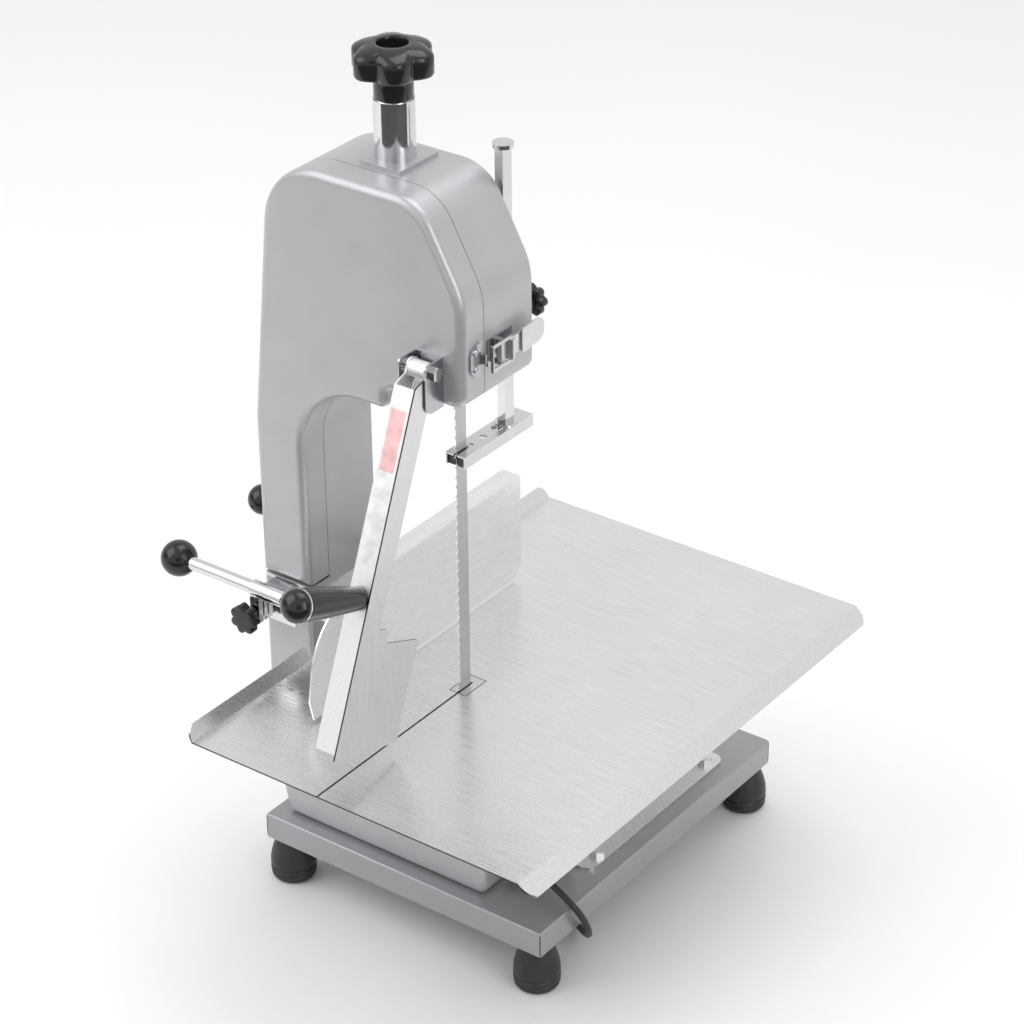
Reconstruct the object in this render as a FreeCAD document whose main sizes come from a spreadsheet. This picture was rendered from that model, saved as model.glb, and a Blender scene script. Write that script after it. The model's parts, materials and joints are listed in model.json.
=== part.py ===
import FreeCAD, Part
import math
import os
import Sketcher

# Table-top bone saw. Lengths in millimetres, angles in degrees.
# X runs to the operator's right, Y away from the operator, Z up from the floor.
# The driving dimensions below are measured from the blade: x = 0 is the blade's own plane,
# y = 0 the root line of its teeth, and the teeth face the operator (-Y).
# datum_x and datum_y then move everything so that the origin is the middle of the floor area.
DIMENSIONS = {
    "datum_x": 35.75, "datum_y": -50.53, "skin": 1.5, "slack": 0.3,
    # base tray and feet
    "base_left": -190, "base_right": 117, "base_front": -47, "base_back": 319,
    "base_low": 44, "base_top": 69, "bend": 2, "foot_inset_x": 16, "foot_inset_y": 17,
    "foot_radius": 21,
    # wheels and blade
    "wheel_radius": 75, "lower_wheel_z": 165, "wheel_spacing": 464.4, "rim_width": 17,
    "blade_width": 16, "blade_thick": 0.5, "tooth_depth": 2.4,
    # casing
    "door_front": -33.5, "cover_front": -31.5, "split_y": -5, "split_gap": 0.6,
    "casing_back": 59.5, "casing_left": -190, "casing_right": 34, "casing_top": 716,
    "knee_z": 472, "shoulder_left": -164.5, "shoulder_right": -8, "shoulder_low": 639,
    "shoulder_left_round": 62, "shoulder_right_round": 42, "shoulder_low_round": 60,
    "jaw_z": 543, "ceiling_z": 520, "ceiling_right": -46, "throat_left": -138,
    "throat_round": 64, "door_low": 319.5, "edge_round": 7.5,
    "lower_right": 46, "lower_top": 244, "taper_x": -175.5, "taper_z": 138,
    # table
    "table_left": -135, "table_right": 203, "table_front": -194, "table_back": 316,
    "table_top": 249, "table_thick": 1.5, "lip_out": 14, "lip_down": 11,
    "flange_out": 6, "flange_up": 12, "lip_round": 12,
    "slot_width": 1.8, "insert_width": 18, "insert_front": -5,
    "insert_back": 25,
    # pusher
    "pivot_y": -45, "pivot_z": 578, "pusher_tilt": 22.2, "pusher_left": -8.6, "pusher_right": 12.6,
    "pusher_web": 18.3, "pusher_rear": 4.3, "pusher_length": 326, "plate_start": 228,
    "plate_reach": 66, "grip_along": 190, "grip_length": 80, "bolt_radius": 4,
    # fence and its two rods
    "fence_x": -70, "fence_front": -117, "fence_back": 183, "fence_low": 252, "fence_top": 354,
    "fence_round": 66, "fence_flange": 20, "rod_radius": 6, "rod_z": 311.3, "front_rod_y": -50,
    "rear_rod_y": 68, "rod_end": -260.5, "ball_radius": 16.5,
    # guide post and arm
    "post_width": 8, "post_depth": 12, "post_front": 62.5, "post_top": 733, "arm_half": 10,
    "arm_front": -1.5, "arm_back": 93.5, "arm_low": 469.5, "arm_height": 11,
    # tension unit
    "tension_y": 25, "sleeve_radius": 17.1, "sleeve_top": 769, "knob_radius": 35.7, "knob_top": 815.5,
    # cord
    "cord_radius": 3, "coil_x": -42, "coil_y": 166, "coil_radius": 35, "coil_section": 9.2,
}

DOCUMENT = FreeCAD.newDocument("bone_saw")
NODES = {}
PLACES = {}


class Size:
    """A length with its value and the expression that binds it to the sheet."""

    def __init__(self, value, text):
        self.value = value
        self.text = text

    def __add__(self, other):
        other = size(other)
        return Size(self.value + other.value, f"({self.text} + {other.text})")

    def __sub__(self, other):
        other = size(other)
        return Size(self.value - other.value, f"({self.text} - {other.text})")

    def __mul__(self, factor):
        factor = size(factor)
        return Size(self.value * factor.value, f"({self.text} * {factor.text})")

    def __truediv__(self, factor):
        factor = size(factor)
        return Size(self.value / factor.value, f"({self.text} / {factor.text})")

    def __neg__(self):
        return Size(-self.value, f"(0 - {self.text})")

    def __radd__(self, other):
        return size(other) + self

    def __rsub__(self, other):
        return size(other) - self

    def __rmul__(self, factor):
        return size(factor) * self


def size(number):
    """Any plain number as a Size."""
    if isinstance(number, Size):
        return number
    text = f"{number:.6f}" if number >= 0 else f"(0 - {-number:.6f})"
    return Size(float(number), text)


def make_sheet():
    """Write the driving dimensions into the spreadsheet and return them as Sizes."""
    sheet = DOCUMENT.addObject("Spreadsheet::Sheet", "Dims")
    sizes = {}
    for row, (name, value) in enumerate(DIMENSIONS.items(), start=1):
        sheet.set(f"A{row}", name)
        sheet.set(f"B{row}", str(value))
        sheet.setAlias(f"B{row}", name)
        sizes[name] = Size(float(value), f"Dims.{name}")
    DOCUMENT.recompute()
    return sizes


class Dims:
    """The sheet's cells as attributes."""

    def __init__(self, sizes):
        self.__dict__.update(sizes)


D = Dims(make_sheet())
TURNS = {
    "+z": FreeCAD.Rotation(),
    "-z": FreeCAD.Rotation(FreeCAD.Vector(1, 0, 0), 180),
    "+x": FreeCAD.Rotation(FreeCAD.Vector(0, 1, 0), 90),
    "-x": FreeCAD.Rotation(FreeCAD.Vector(0, 1, 0), -90),
    "+y": FreeCAD.Rotation(FreeCAD.Vector(1, 0, 0), -90),
    "-y": FreeCAD.Rotation(FreeCAD.Vector(1, 0, 0), 90),
}


# ---------------------------------------------------------------- building helpers

def bind(item, path, value):
    """Bind one property of an object to the sheet."""
    item.setExpression(path, size(value).text)


def place(item, x, y, z, turn=None):
    """Put an object at a point of the blade's frame, with an optional rotation."""
    turn = turn or FreeCAD.Rotation()
    x, y, z = size(x), size(y), size(z)
    item.Placement = FreeCAD.Placement(FreeCAD.Vector(x.value, y.value, z.value), turn)
    bind(item, ".Placement.Base.x", x)
    bind(item, ".Placement.Base.y", y)
    bind(item, ".Placement.Base.z", z)
    PLACES[item.Name] = (x, y, z, turn)
    return item


def block(x0, x1, y0, y1, z0, z1):
    """A box between two corners."""
    box = DOCUMENT.addObject("Part::Box", "Block")
    bind(box, "Length", size(x1) - x0)
    bind(box, "Width", size(y1) - y0)
    bind(box, "Height", size(z1) - z0)
    return place(box, x0, y0, z0)


def rod(direction, x, y, z, radius, length):
    """A cylinder that starts at a point and runs along one direction."""
    cylinder = DOCUMENT.addObject("Part::Cylinder", "Rod")
    bind(cylinder, "Radius", radius)
    bind(cylinder, "Height", length)
    return place(cylinder, x, y, z, TURNS[direction])


def ball(x, y, z, radius):
    """A sphere about a point."""
    item = DOCUMENT.addObject("Part::Sphere", "Ball")
    bind(item, "Radius", radius)
    return place(item, x, y, z)


def prism(direction, x, y, z, across_flats, length):
    """A hexagonal bar, as a bolt head or nut."""
    item = DOCUMENT.addObject("Part::Prism", "Hex")
    item.Polygon = 6
    bind(item, "Circumradius", size(across_flats) / math.sqrt(3))
    bind(item, "Height", length)
    return place(item, x, y, z, TURNS[direction])


def join(*items):
    """Several touching solids as one piece."""
    if len(items) == 1:
        return items[0]
    whole = DOCUMENT.addObject("Part::MultiFuse", "Join")
    whole.Shapes = list(items)
    whole.Refine = True
    return place(whole, 0, 0, 0)


def cut(base, *tools):
    """A solid with other solids taken away."""
    rest = DOCUMENT.addObject("Part::Cut", "Cut")
    rest.Base = base
    rest.Tool = join(*tools)
    rest.Refine = True
    return place(rest, 0, 0, 0)


def several(items):
    """Identical pieces kept as separate solids of one node."""
    group = DOCUMENT.addObject("Part::Compound", "Group")
    group.Links = list(items)
    return place(group, 0, 0, 0)


def node(name, item):
    """Name a finished piece and move it from the blade's frame to the row's frame."""
    x, y, z, turn = PLACES[item.Name]
    place(item, x + D.datum_x, y + D.datum_y, z, turn)
    item.Label = name
    NODES[name] = item
    return item


PLANES = {"XZ": "XZ_Plane", "YZ": "YZ_Plane", "XY": "XY_Plane"}


def new_body():
    """An empty PartDesign body at the origin."""
    body = DOCUMENT.addObject("PartDesign::Body", "Body")
    PLACES[body.Name] = (size(0), size(0), size(0), FreeCAD.Rotation())
    return body


def plane_of(body, plane):
    """One of the body's own origin planes."""
    for feature in body.Origin.OriginFeatures:
        if feature.Role == PLANES[plane]:
            return feature
    raise ValueError(plane)


def draw(body, plane, points):
    """A closed polygon sketch whose corners are bound to the sheet. Corners are (u, v)."""
    sketch = body.newObject("Sketcher::SketchObject", "Outline")
    sketch.AttachmentSupport = [(plane_of(body, plane), "")]
    sketch.MapMode = "FlatFace"
    corners = [FreeCAD.Vector(size(u).value, size(v).value, 0) for u, v in points]
    count = len(points)
    for index in range(count):
        sketch.addGeometry(Part.LineSegment(corners[index], corners[(index + 1) % count]))
    for index in range(count):
        sketch.addConstraint(Sketcher.Constraint("Coincident", index, 2, (index + 1) % count, 1))
    for index, (u, v) in enumerate(points):
        for kind, value in (("DistanceX", size(u)), ("DistanceY", size(v))):
            number = sketch.addConstraint(Sketcher.Constraint(kind, -1, 1, index, 1, value.value))
            sketch.setExpression(f"Constraints[{number}]", value.text)
    return sketch


def extrude(plane, outline, start, length):
    """A body made from a polygon of (u, v) or (u, v, corner radius), drawn on XZ, YZ or XY.

    It runs from start to start + length along +Y, +X or +Z. Corners with a radius are rounded.
    """
    body = new_body()
    sketch = draw(body, plane, [point[:2] for point in outline])
    pad = body.newObject("PartDesign::Pad", "Sheet")
    pad.Profile = sketch
    bind(pad, "Length", length)
    pad.Reversed = plane == "XZ"
    body.Tip = pad
    DOCUMENT.recompute()
    for radius in sorted({size(point[2]).value for point in outline if len(point) > 2}):
        corners = [point for point in outline if len(point) > 2 and size(point[2]).value == radius]
        round_corners(body, plane, corners)
    offset = {"XZ": (0, start, 0), "YZ": (start, 0, 0), "XY": (0, 0, start)}[plane]
    return place(body, *offset)


def round_corners(body, plane, corners):
    """Fillet the edges that run through the given corners along the extrusion."""
    across = {"XZ": (0, 2), "YZ": (1, 2), "XY": (0, 1)}[plane]
    names = []
    for number, edge in enumerate(body.Tip.Shape.Edges, start=1):
        ends = [vertex.Point for vertex in edge.Vertexes]
        if len(ends) != 2 or (ends[0] - ends[1]).Length < 0.5:
            continue
        flat = [max(abs(end[across[0]] - size(corner[0]).value), abs(end[across[1]] - size(corner[1]).value))
                for end in ends for corner in corners]
        paired = [max(flat[index], flat[index + len(corners)]) for index in range(len(corners))]
        if min(paired) < 0.01:
            names.append(f"Edge{number}")
    add_fillet(body, names, corners[0][2])


def add_fillet(body, names, radius):
    """Round named edges of the body's last feature."""
    previous = body.Tip
    fillet = body.newObject("PartDesign::Fillet", "Round")
    fillet.Base = (previous, names)
    bind(fillet, "Radius", radius)
    body.Tip = fillet
    DOCUMENT.recompute()


def round_face(body, axis, level, radius):
    """Fillet every edge that lies in the plane axis = level, as a pressed sheet's front edge."""
    index = {"x": 0, "y": 1, "z": 2}[axis]
    names = []
    for number, edge in enumerate(body.Tip.Shape.Edges, start=1):
        box = edge.BoundBox
        low, high = (box.XMin, box.YMin, box.ZMin)[index], (box.XMax, box.YMax, box.ZMax)[index]
        if abs(low - size(level).value) < 0.01 and abs(high - size(level).value) < 0.01:
            names.append(f"Edge{number}")
    add_fillet(body, names, radius)


def hollow(body, axis, level, thickness):
    """Shell the body inwards, open at its flat face in the plane axis = level."""
    index = {"x": 0, "y": 1, "z": 2}[axis]
    for number, face in enumerate(body.Tip.Shape.Faces, start=1):
        box = face.BoundBox
        low, high = (box.XMin, box.YMin, box.ZMin)[index], (box.XMax, box.YMax, box.ZMax)[index]
        if abs(low - size(level).value) < 0.01 and abs(high - size(level).value) < 0.01:
            previous = body.Tip
            shell = body.newObject("PartDesign::Thickness", "Shell")
            shell.Base = (previous, [f"Face{number}"])
            bind(shell, "Value", thickness)
            shell.Reversed = True
            body.Tip = shell
            DOCUMENT.recompute()
            return
    raise ValueError("no face to open")


def turned(direction, x, y, z, profile):
    """A body of revolution from (radius, height) corners, standing on a point along a direction."""
    body = new_body()
    sketch = draw(body, "XZ", profile)
    spin = body.newObject("PartDesign::Revolution", "Turn")
    spin.Profile = sketch
    spin.ReferenceAxis = (sketch, ["V_Axis"])
    spin.Angle = 360
    body.Tip = spin
    DOCUMENT.recompute()
    return place(body, x, y, z, TURNS[direction])


def ring(direction, x, y, z, inner, outer, length):
    """A plain ring, as a washer or bearing."""
    return cut(rod(direction, x, y, z, outer, length), rod(direction, x, y, z, inner, length))


def at_corners(xs, ys):
    """All pairs of two lists."""
    return [(x, y) for x in xs for y in ys]


# ---------------------------------------------------------------- base

def make_base():
    """Folded tray, open below, on four rubber feet with studs."""
    corner = D.bend + 0.5
    outline = [(D.base_left, D.base_front, corner), (D.base_right, D.base_front, corner),
               (D.base_right, D.base_back, corner), (D.base_left, D.base_back, corner)]
    height = D.base_top - D.base_low
    tray = extrude("XY", outline, D.base_low, height)
    round_face(tray, "z", height, D.bend)
    hollow(tray, "z", 0, D.skin)
    node("base_tray", tray)
    rim = D.foot_radius
    neck = rim - 9
    stud_radius = 4
    stud_low = 12
    seat = D.base_top - D.skin
    profile = [(0, 0), (rim - 2.5, 0), (rim, 4.5), (rim - 1.2, 5.5), (rim - 0.3, 10), (rim - 1.7, 11),
               (rim - 1, 15.5), (rim - 2.4, 16.5), (rim - 3.5, 26), (rim - 7, 36), (neck, seat - 6),
               (neck, seat), (stud_radius + 0.1, seat), (stud_radius + 0.1, stud_low), (0, stud_low)]
    stud = [(0, stud_low), (stud_radius, stud_low), (stud_radius, seat), (0, seat)]
    spots = at_corners((D.base_left + D.foot_inset_x, D.base_right - D.foot_inset_x),
                       (D.base_front + D.foot_inset_y, D.base_back - D.foot_inset_y))
    node("rubber_feet", several([turned("+z", x, y, 0, profile) for x, y in spots]))
    node("foot_studs", several([turned("+z", x, y, 0, stud) for x, y in spots]))


# ---------------------------------------------------------------- casing

def upper_outline(low):
    """Outline of the casing above a level: column, curved throat, jaw and sloped shoulders."""
    return [(D.casing_left, low), (D.throat_left, low), (D.throat_left, D.ceiling_z, D.throat_round),
            (D.ceiling_right, D.ceiling_z, 9), (D.ceiling_right, D.jaw_z, 9),
            (D.casing_right, D.jaw_z, 13), (D.casing_right, D.shoulder_low, D.shoulder_low_round),
            (D.shoulder_right, D.casing_top, D.shoulder_right_round),
            (D.shoulder_left, D.casing_top, D.shoulder_left_round),
            (D.casing_left, D.knee_z, 40)]


def lower_outline(top):
    """Outline of the casing below a level: it stands on the tray and tapers in on the left."""
    small = 8
    return [(D.casing_left, top), (D.casing_left, D.taper_z), (D.taper_x, D.base_top, small),
            (D.lower_right, D.base_top, small), (D.lower_right, D.lower_top), (D.throat_left, D.lower_top)]


def make_casing():
    """Rear shell, one C-shaped pressing, and the fixed cover over the lower wheel."""
    front = D.split_y + D.split_gap / 2
    shell = extrude("XZ", upper_outline(D.knee_z)[2:] + lower_outline(D.knee_z)[1:], front,
                    D.casing_back - front)
    hollow(shell, "y", 0, D.skin)
    half_slot = 10
    slots = block(-half_slot, half_slot, front - 1, 22, D.lower_top - 5, D.jaw_z + 5)
    screw_hole = rod("+z", -D.wheel_radius, D.tension_y, D.casing_top - 5, 6.6, 10)
    shaft_hole = rod("+y", -D.wheel_radius, D.casing_back - 5, D.lower_wheel_z, 12, 10)
    node("rear_casing", cut(shell, slots, screw_hole, shaft_hole))
    top = D.door_low - 2.5
    plate = extrude("XZ", lower_outline(top) + [(D.throat_left, top)], D.cover_front,
                    front - D.cover_front)
    round_face(plate, "y", 0, 5)
    hollow(plate, "y", front - D.cover_front, D.skin)
    node("lower_cover", plate)


def make_door():
    """Upper door and its two hinges on the left."""
    back = D.split_y - D.split_gap / 2
    depth = back - D.door_front
    shell = extrude("XZ", upper_outline(D.door_low), D.door_front, depth)
    round_face(shell, "y", 0, D.edge_round)
    hollow(shell, "y", depth, D.skin)
    node("door_shell", shell)
    axis_x = D.casing_left - 4.5
    axis_y = D.split_y
    pin, running, knuckle, leaf, reach = 1.5, 1.55, 3.6, 14.7, 22
    edge = D.split_gap / 2 + 0.7
    fixed, moving, pins = [], [], []
    for low in (324, 432):
        for halves, offset, bore, side in ((fixed, 0, pin, 1), (moving, 15.3, running, -1)):
            near, far = sorted((side * edge.value, side * reach))
            inner, outer = sorted((side * edge.value, side * 3.2))
            bottom = low + offset
            barrel = rod("+z", axis_x, axis_y, bottom, knuckle, leaf)
            end = bottom + leaf
            flap = block(D.casing_left - 1.8, D.casing_left, axis_y + near, axis_y + far, bottom, end)
            web = block(axis_x + pin, D.casing_left, axis_y + inner, axis_y + outer, bottom, end)
            halves.append(cut(join(barrel, flap, web), rod("+z", axis_x, axis_y, low, bore, 30)))
        pins.append(rod("+z", axis_x, axis_y, low - 1, pin, 32))
    node("hinge_leaves", several(fixed + pins))
    node("door_hinge_leaves", several(moving))


# ---------------------------------------------------------------- wheels, blade, tensioner

def wheel(z, bore):
    """Spoked cast wheel with a bored hub."""
    rim_front = -0.5
    rim_back = rim_front + D.rim_width
    outer = D.wheel_radius - D.blade_thick / 2 - D.slack
    profile = [(bore, -8), (17, -8), (19, 4), (62, 6), (64, rim_front), (outer, rim_front),
               (outer, rim_back), (64, rim_back), (62, 11), (19, 12), (17, 18), (bore, 18)]
    centre = -D.wheel_radius
    disc = turned("+y", centre, 0, z, profile)
    holes = []
    for index in range(6):
        angle = math.radians(60 * index + 30)
        reach = 41
        holes.append(rod("+y", centre + reach * math.cos(angle), -10, z + reach * math.sin(angle), 12, 40))
    return cut(disc, *holes)


def make_wheels():
    """Both wheels, the upper axle and the lower shaft with its rotor."""
    upper_z = D.lower_wheel_z + D.wheel_spacing
    centre = -D.wheel_radius
    shaft = 8
    node("upper_wheel", wheel(upper_z, shaft + 0.06))
    node("lower_wheel", wheel(D.lower_wheel_z, shaft))
    nut = cut(prism("-y", centre, -8, D.lower_wheel_z, 24, 4),
              rod("-y", centre, -8, D.lower_wheel_z, shaft, 4))
    node("lower_shaft", several([rod("+y", centre, -12, D.lower_wheel_z, shaft, 205), nut]))
    node("motor_rotor", ring("+y", centre, 84, D.lower_wheel_z, shaft, 36, 84))
    cap = ring("-y", centre, -8.4, upper_z, shaft, 12, 3)
    node("upper_axle", several([rod("+y", centre, -10, upper_z, shaft, 29), cap]))


def make_carriage():
    """Slide that carries the upper wheel, its two rails, the tension screw and the star wheel."""
    centre = -D.wheel_radius
    upper_z = D.lower_wheel_z + D.wheel_spacing
    nose = block(centre - 17, centre + 17, 19, 36, upper_z - 25, upper_z + 30)
    back = block(centre - 25, centre + 25, 36, 49, upper_z - 25, upper_z + 30)
    screw_radius = 6
    bore = rod("+z", centre, D.tension_y, upper_z - 20, screw_radius + 0.05, 60)
    node("upper_carriage", cut(join(nose, back), bore))
    rails = []
    for near, far in ((centre - 33, centre - 18), (centre + 18, centre + 33)):
        bar = block(near, far, 30, D.casing_back - D.skin, upper_z - 50, upper_z + 50)
        slot = block(centre - 25.3, centre + 25.3, 35.7, 49.3, upper_z - 51, upper_z + 51)
        rails.append(cut(bar, slot))
    node("carriage_rails", several(rails))
    pad_top = D.casing_top + 3
    pad = block(centre - 17, centre + 24, 0, 50, D.casing_top, pad_top)
    axis_x, axis_y = centre, D.tension_y
    node("tension_pad", cut(pad, rod("+z", axis_x, axis_y, D.casing_top - 1, 6.6, 5)))
    outer = D.sleeve_radius
    node("tension_sleeve", ring("+z", axis_x, axis_y, pad_top, outer - 2.5, outer, D.sleeve_top - pad_top))
    node("tension_screw", rod("+z", axis_x, axis_y, upper_z - 18, screw_radius, D.sleeve_top + 18 - upper_z))
    low = D.sleeve_top - 24
    top = D.knob_top
    neck = outer - 2.8
    throat = 16.3
    core = 21
    profile = [(screw_radius, low), (neck, low), (neck, D.sleeve_top + 0.3), (throat, D.sleeve_top + 0.3),
               (throat, top - 26), (core, top - 24.5), (core, top - 2.5), (throat, top - 1),
               (throat - 3, top), (0, top), (0, D.sleeve_top), (screw_radius, D.sleeve_top)]
    lobe = 12
    lobe_outline = [(0, top - 24.5), (lobe - 3, top - 24.5), (lobe, top - 21), (lobe, top - 7),
                    (lobe - 4, top - 3.5), (0, top - 3)]
    lobes = []
    for index in range(6):
        angle = math.radians(60 * index + 12)
        reach = D.knob_radius - lobe
        at = (axis_x + reach * math.cos(angle), axis_y + reach * math.sin(angle))
        lobes.append(turned("+z", *at, 0, lobe_outline))
    node("tension_wheel", join(turned("+z", axis_x, axis_y, 0, profile), *lobes))


def make_blade():
    """Endless toothed band round both wheels."""
    z0 = D.lower_wheel_z
    z1 = D.lower_wheel_z + D.wheel_spacing
    half = D.blade_thick / 2
    centre = -D.wheel_radius
    width = D.blade_width

    def loop(radius, start, depth):
        ends = [rod("+y", centre, start, z, radius, depth) for z in (z0, z1)]
        return join(block(centre - radius, centre + radius, start, start + depth, z0, z1), *ends)

    front = -D.tooth_depth
    band = cut(loop(D.wheel_radius + half, front, width), loop(D.wheel_radius - half, front - 1, width + 2))
    pitch = 9.2
    count = 30
    first = 256
    gullets = []
    for index in range(count):
        base = first + pitch * index
        notch = [(front - 1, base + 0.5), (front, base + 0.5), (0, base + 3.6), (0, base + 8.7),
                 (front, base + 9.2), (front - 1, base + 9.2)]
        gullets.append(extrude("YZ", notch, -1, 2))
    node("saw_blade", cut(band, *gullets))


# ---------------------------------------------------------------- table

def make_table():
    """Folded sheet table with a blade slot, its insert and its supports."""
    top = D.table_top
    under = top - D.table_thick
    left, right = D.table_left, D.table_right
    outline = [(left - D.flange_out, top + D.flange_up), (left, top), (right, top),
               (right + D.lip_out, top - D.lip_down), (right + D.lip_out - 1.2, top - D.lip_down - 1.2),
               (right - 0.6, under), (left - 0.8, under),
               (left - D.flange_out - 1.4, top + D.flange_up - 0.6)]
    sheet = extrude("XZ", outline, D.table_front, D.table_back - D.table_front)
    lip = block(left, right, D.table_back - D.skin, D.table_back, top - 10, top)
    notch = block(left - 10, left - 1, -38, 64, under - 1, top + D.flange_up + 1)
    corners = []
    lip_edge = right + D.lip_out
    lip_round = D.lip_round
    for edge_y, inward in ((D.table_front, 1), (D.table_back, -1)):
        far_y = edge_y + inward * lip_round
        ys = (edge_y, far_y) if inward > 0 else (far_y, edge_y)
        tip = block(lip_edge - lip_round, lip_edge + 1, *ys, top - 14, top + 1)
        corners.append(cut(tip, rod("+z", lip_edge - lip_round, far_y, top - 14, lip_round, 15)))
        bend = D.flange_up - 1
        far_y = edge_y + inward * bend
        ys = (edge_y, far_y) if inward > 0 else (far_y, edge_y)
        tip = block(left - 10, left, *ys, top + 1, top + D.flange_up + 1)
        corners.append(cut(tip, rod("+x", left - 10, far_y, top + 1, bend, 10)))
    slot = block(-D.slot_width / 2, D.slot_width / 2, D.table_front - 1, D.insert_front + 1,
                 under - 1, top + 1)
    half = D.insert_width / 2
    window = block(-half, half, D.insert_front, D.insert_back, under - 1, top + 1)
    node("work_table", cut(join(sheet, lip), notch, slot, window, *corners))
    gap = 0.8
    upper = block(-half + gap, half - gap, D.insert_front + gap, D.insert_back - gap, under, top)
    lower = block(-half - 3, half + 3, D.insert_front - 3, D.insert_back + 3, under - 2, under)
    kerf = block(-1.2, 1.2, D.insert_front - 4, 16, under - 3, top + 1)
    node("blade_insert", cut(join(upper, lower), kerf))
    wall_x = 78
    foot_top = D.base_top + 3
    foot = [(wall_x, 50), (wall_x + 24, 50, 12), (wall_x + 24, 267, 12), (wall_x, 267)]
    plate = extrude("XY", foot, D.base_top, 3)
    wall = block(wall_x, wall_x + 2, 50, 267, foot_top, under)
    shelf = block(wall_x - 22, wall_x, 50, 267, under - 2, under)
    bolts = [prism("+z", x, y, foot_top, 13, 5) for x, y in ((91, 75), (89, 251))]
    node("table_support", several([join(plate, wall, shelf), *bolts]))
    pads = [block(x, x + 22, y, y + 34, D.lower_top, under) for x, y in ((-128, 8), (20, -20))]
    node("table_pads", several(pads))


# ---------------------------------------------------------------- motor and switch box

def make_motor():
    """Motor behind the lower casing, its end cap and the switch box on the left wall."""
    centre, z = -D.wheel_radius, D.lower_wheel_z
    back = D.casing_back
    shell = cut(rod("+y", centre, back, z, 62, 142), rod("+y", centre, back + 4, z, 57, 138),
                rod("+y", centre, back - 1, z, 12, 8))
    ribs = [ring("+y", centre, back + 20 + 14 * index, z, 61.5, 64, 3) for index in range(8)]
    cap = [(0, 0), (62, 0), (62, 6), (56, 12), (0, 14)]
    node("motor_housing", several([join(shell, *ribs), turned("+y", centre, back + 142, z, cap)]))
    spots = [(centre + 46 * i, z + 46 * j) for i, j in at_corners((-1, 1), (-1, 1))]
    bolts = [prism("-y", x, back - D.skin, w, 8, 3.5) for x, w in spots]
    node("motor_bolts", several(bolts))
    node("lower_bearing", ring("+y", centre, back + 4, z, 8.05, 20, 9))
    left = D.casing_left
    box = [(12, 145), (57, 145), (57, 235), (12, 235)]
    body = extrude("YZ", [(y, w, 5) for y, w in box], left - 28, 28)
    button_y = 34.5
    buttons = []
    for name, w, radius in (("stop_button", 170, 13), ("start_button", 208, 9)):
        buttons.append(rod("+x", left - 29, button_y, w, radius + 0.3, 14))
        cap = [(0, 0), (radius, 0), (radius, 14), (radius - 2, 16), (0, 16)]
        node(name, turned("-x", left - 20, button_y, w, cap))
    node("switch_box", cut(body, *buttons))


# ---------------------------------------------------------------- latch and bracket

def make_latch():
    """Toggle latch on the right wall: base, lever, wire loop, keeper and its screws."""
    wall = D.casing_right
    base = block(wall, wall + 1.5, -2, 31, 572, 596)
    hinge_x, hinge_y = wall + 6, 8
    ears = [join(block(wall + 1.5, hinge_x, hinge_y - 2.6, hinge_y + 2.6, low, low + 2),
                 rod("+z", hinge_x, hinge_y, low, 2.6, 2)) for low in (573, 593)]
    node("latch_base", several([join(base, *ears), rod("+z", hinge_x, hinge_y, 575, 1.5, 18)]))
    loop_x, loop_y = hinge_x + 4.6, hinge_y + 9
    wire = 1.4
    barrel = ring("+z", hinge_x, hinge_y, 575.3, 1.55, 3, 17.4)
    arm = block(hinge_x + 0.6, hinge_x + 3, hinge_y, hinge_y + 30, 576, 592)
    tab = [(hinge_y + 24, 573, 3), (hinge_y + 54, 576, 9), (hinge_y + 54, 597, 9), (hinge_y + 24, 595, 3)]
    tip = extrude("YZ", tab, hinge_x + 3, 1.8)
    boss = ring("+z", loop_x, loop_y, 575.3, wire, 3, 17.4)
    hole = rod("+z", hinge_x, hinge_y, 574, 1.55, 20)
    second = rod("+z", loop_x, loop_y, 574, wire + 0.05, 20)
    node("latch_lever", cut(join(barrel, arm, tip, boss), hole, second))
    low, high, reach = 573.8, 594.4, 25
    ends = [rod("+z", loop_x, y, low - wire, wire, high - low + 2 * wire) for y in (loop_y, loop_y - reach)]
    sides = [rod("-y", loop_x, loop_y, z, wire, reach) for z in (low, high)]
    node("latch_loop", join(*ends, *sides))
    plate = extrude("YZ", [(-25, 569, 11), (-12, 569), (-12, 599), (-25, 599, 11)], wall, 2)
    ramp = extrude("XY", [(wall + 2, -14), (wall + 6, -11), (wall + 6, -9.5), (wall + 2, -7)], 580, 8)
    heads = [turned("+x", wall + 2, -19, z, [(0, 0), (2.8, 0), (2.2, 1.6), (0, 2)]) for z in (576.5, 591.5)]
    node("latch_keeper", several([join(plate, ramp), *heads]))


def make_bracket():
    """Folded bracket on the door that carries the pusher's pivot bolt."""
    left, right = D.pusher_left - 4.7, D.pusher_right + 1.8
    back = D.door_front
    front = back - 23.5
    top = 588
    ears = []
    for start, low, round_low in ((left, 566, 5), (right - D.skin, 544, 9)):
        ear = [(back, low), (front, low, round_low), (front, top, 4), (back, top)]
        ears.append(extrude("YZ", ear, start, D.skin))
    web = block(left, right, back - D.skin, back, 560, top)
    hole = rod("+x", left - 1, D.pivot_y, D.pivot_z, D.bolt_radius, 40)
    node("pusher_bracket", cut(join(web, *ears), hole))
    bolt = join(rod("+x", left - 6, D.pivot_y, D.pivot_z, D.bolt_radius, right - left + 6),
                prism("+x", right, D.pivot_y, D.pivot_z, 11, 4))
    nut = cut(prism("-x", left, D.pivot_y, D.pivot_z, 11, 4.5),
              rod("-x", left, D.pivot_y, D.pivot_z, D.bolt_radius, 4.5))
    spacer = ring("+x", left + D.skin, D.pivot_y, D.pivot_z, D.bolt_radius, 7, 2.9)
    node("pivot_bolt", several([bolt, nut, spacer]))


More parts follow.
